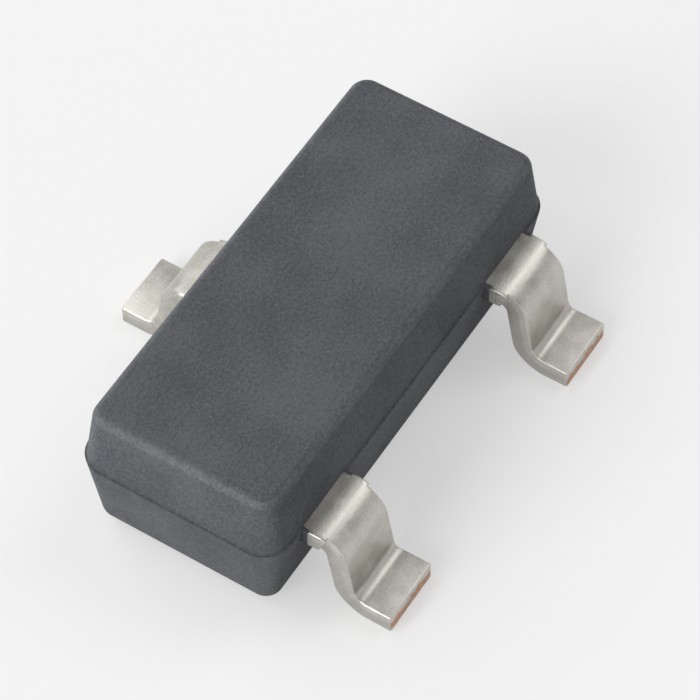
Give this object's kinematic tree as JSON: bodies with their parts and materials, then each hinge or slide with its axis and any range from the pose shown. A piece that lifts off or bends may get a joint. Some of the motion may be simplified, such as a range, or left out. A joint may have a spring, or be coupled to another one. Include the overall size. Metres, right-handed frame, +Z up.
{
  "type": "surface-mount transistor",
  "caption": "Small-signal transistor: a drafted oblong epoxy moulding with gull-wing leads, base and emitter on one long side and collector on the other, and its chip and bond wires inside.",
  "frame": {"origin": "middle of the part's box, on the plane that the undersides of the three feet stand on", "axes": "+X along the body towards the emitter lead's end, +Y towards the single collector lead, +Z up, away from the feet"},
  "size_m": [0.003, 0.0024, 0.001],
  "materials": {
    "moulding_epoxy": "matte",
    "tinned_lead": "satin",
    "silver_epoxy": "matte",
    "silicon": "polished",
    "gold_wire": "polished"
  },
  "bodies": {
    "root": {"moulded_body": "moulding_epoxy", "collector_lead": "tinned_lead", "base_lead": "tinned_lead", "emitter_lead": "tinned_lead", "die_attach": "silver_epoxy", "silicon_die": "silicon", "base_bond_wire": "gold_wire", "emitter_bond_wire": "gold_wire"}
  },
  "joints": []
}
